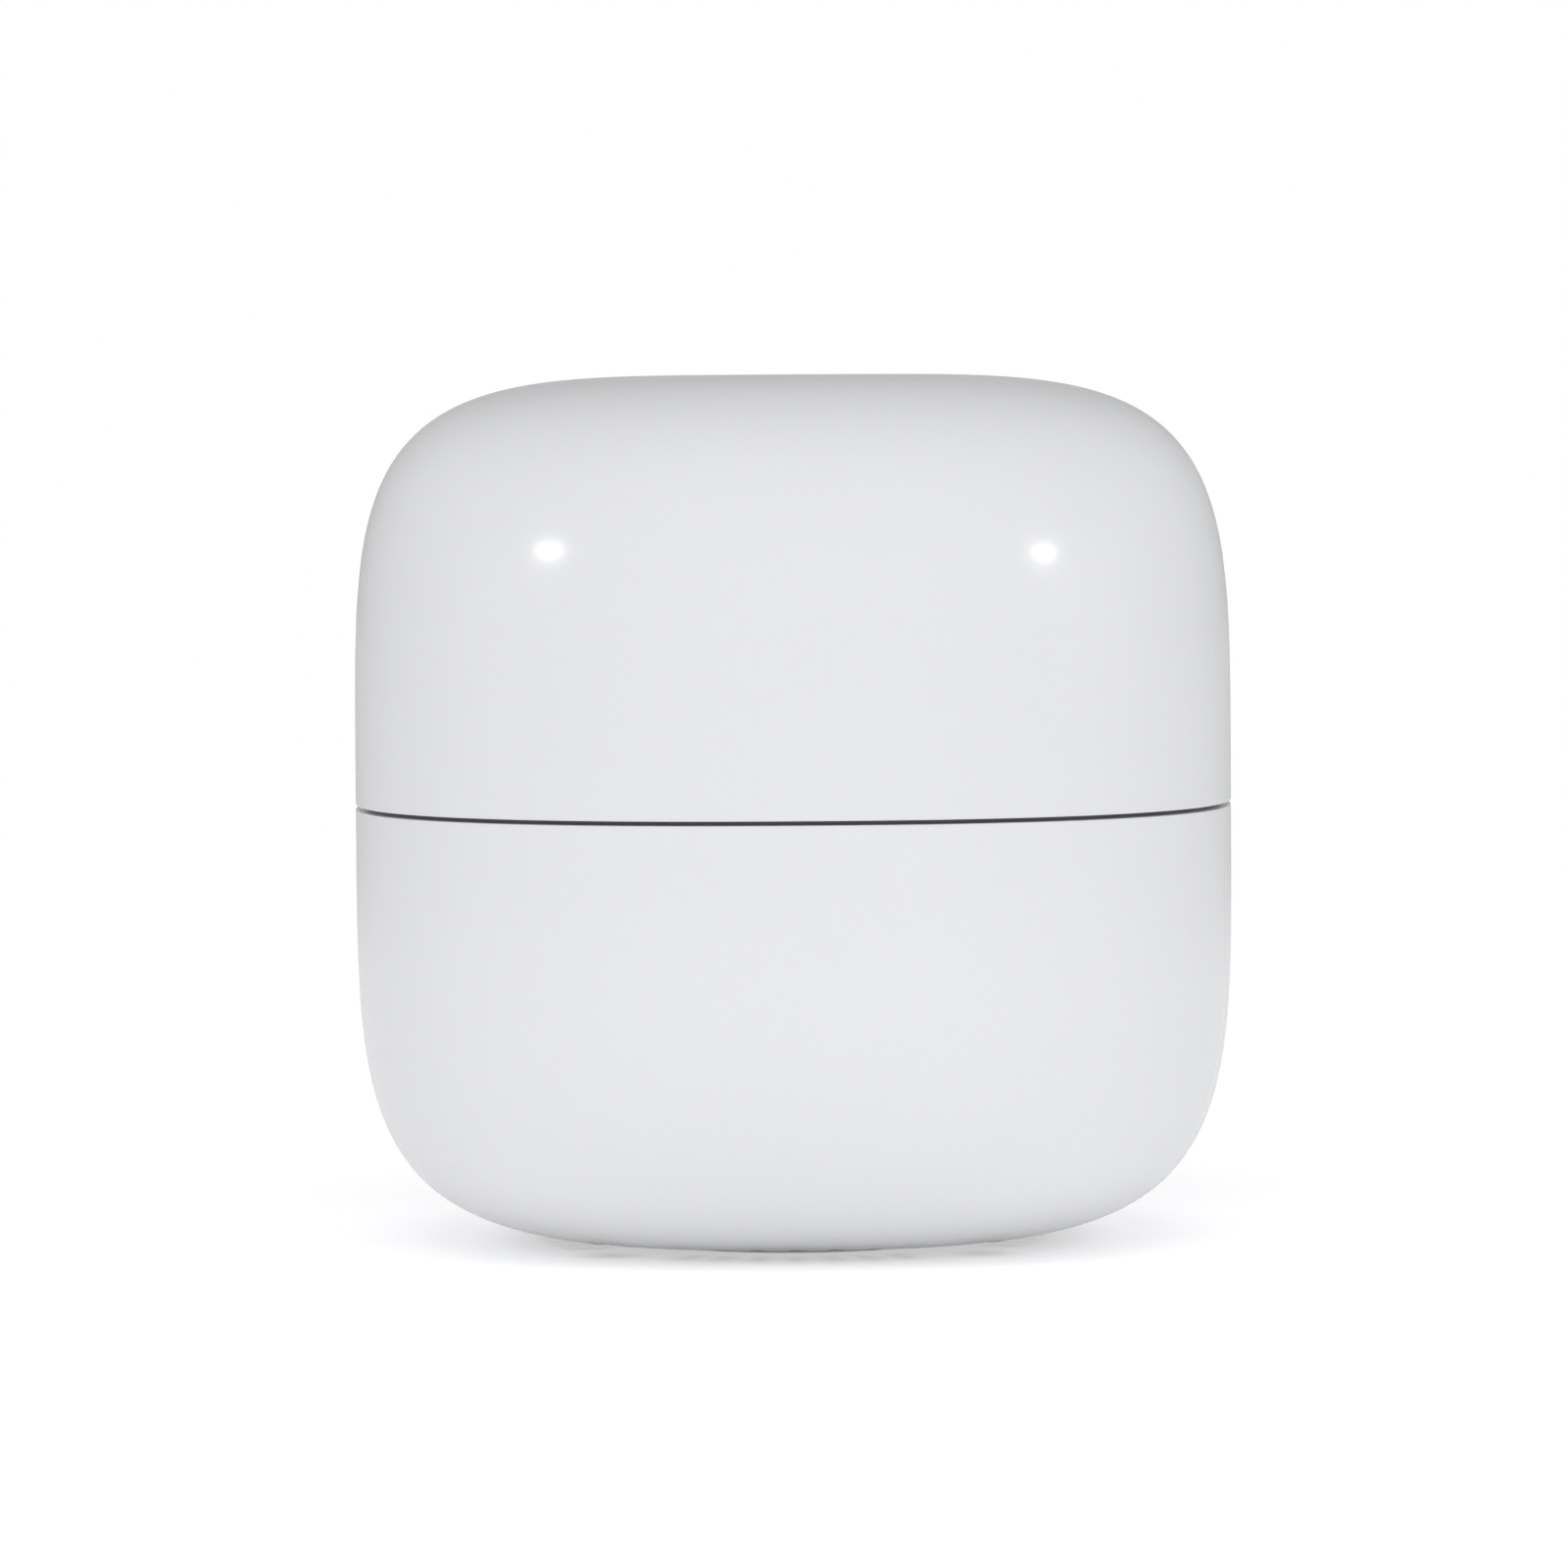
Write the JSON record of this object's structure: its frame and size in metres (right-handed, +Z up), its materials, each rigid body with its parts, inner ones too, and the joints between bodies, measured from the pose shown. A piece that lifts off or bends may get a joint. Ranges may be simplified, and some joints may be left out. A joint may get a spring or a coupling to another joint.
{
  "type": "mesh wifi node",
  "caption": "Free-standing mesh wifi node: rounded soft-cube housing in two shells with a shadow groove, rear network and power jacks, and a sprung reset button.",
  "frame": {"origin": "on the surface that the node stands on, under the middle of its plan", "axes": "+Z up, -Y towards the plain front, +Y towards the rear ports, +X to the right as seen from the front"},
  "size_m": [0.088, 0.088, 0.0871],
  "materials": {
    "shell_white": "gloss",
    "base_white": "satin",
    "frame_grey": "satin",
    "foot_rubber": "matte",
    "label_film": "satin",
    "screw_steel": "satin",
    "jack_plastic": "satin",
    "jack_metal": "satin",
    "contact_gold": "gloss",
    "power_contact": "gloss",
    "board_laminate": "satin",
    "passive_ceramic": "satin",
    "chip_epoxy": "matte",
    "heatsink_metal": "satin",
    "pad_silicone": "matte",
    "carrier_plastic": "matte",
    "antenna_copper": "satin",
    "lead_jacket": "satin",
    "lamp_clear": "gloss",
    "reset_plastic": "satin"
  },
  "bodies": {
    "housing": {"antenna_carrier": "carrier_plastic", "antenna_front": "antenna_copper", "antenna_lead_front": "lead_jacket", "antenna_lead_left": "lead_jacket", "antenna_lead_right": "lead_jacket", "antenna_left": "antenna_copper", "antenna_right": "antenna_copper", "base_plate": "base_white", "base_screws": "screw_steel", "board_passives": "passive_ceramic", "board_screws": "screw_steel", "bulk_capacitors": "heatsink_metal", "crystal": "jack_metal", "flash_chip": "chip_epoxy", "foot_front": "foot_rubber", "foot_left": "foot_rubber", "foot_rear": "foot_rubber", "foot_right": "foot_rubber", "heatsink": "heatsink_metal", "heatsink_nuts": "screw_steel", "heatsink_screws": "screw_steel", "lan_jack_contacts": "contact_gold", "lan_jack_housing": "jack_plastic", "lan_jack_lamps": "lamp_clear", "lan_jack_shield": "jack_metal", "light_pipe": "lamp_clear", "lower_shell": "shell_white", "magnetics": "chip_epoxy", "main_board": "board_laminate", "memory_chip": "chip_epoxy", "mid_frame": "frame_grey", "phy_chip": "chip_epoxy", "port_panel": "base_white", "power_chip": "chip_epoxy", "power_inductors": "chip_epoxy", "power_jack_housing": "jack_plastic", "power_jack_pin": "power_contact", "power_jack_spring": "power_contact", "rating_label": "label_film", "reset_switch": "jack_plastic", "rf_plug_front": "contact_gold", "rf_plug_left": "contact_gold", "rf_plug_right": "contact_gold", "shield_can_left": "jack_metal", "shield_can_right": "jack_metal", "soc_chip": "chip_epoxy", "status_led": "lamp_clear", "thermal_pad": "pad_silicone", "upper_shell": "shell_white", "wan_jack_contacts": "contact_gold", "wan_jack_housing": "jack_plastic", "wan_jack_lamps": "lamp_clear", "wan_jack_shield": "jack_metal"},
    "reset": {"reset_button": "reset_plastic", "reset_plunger": "reset_plastic"}
  },
  "joints": [
    {"name": "reset_press", "type": "slide", "parent": "housing", "child": "reset", "axis": [0, -1, 0], "range_m": [0, 0.0004], "stiffness_N_per_m": 800, "springref_m": -0.0006}
  ]
}
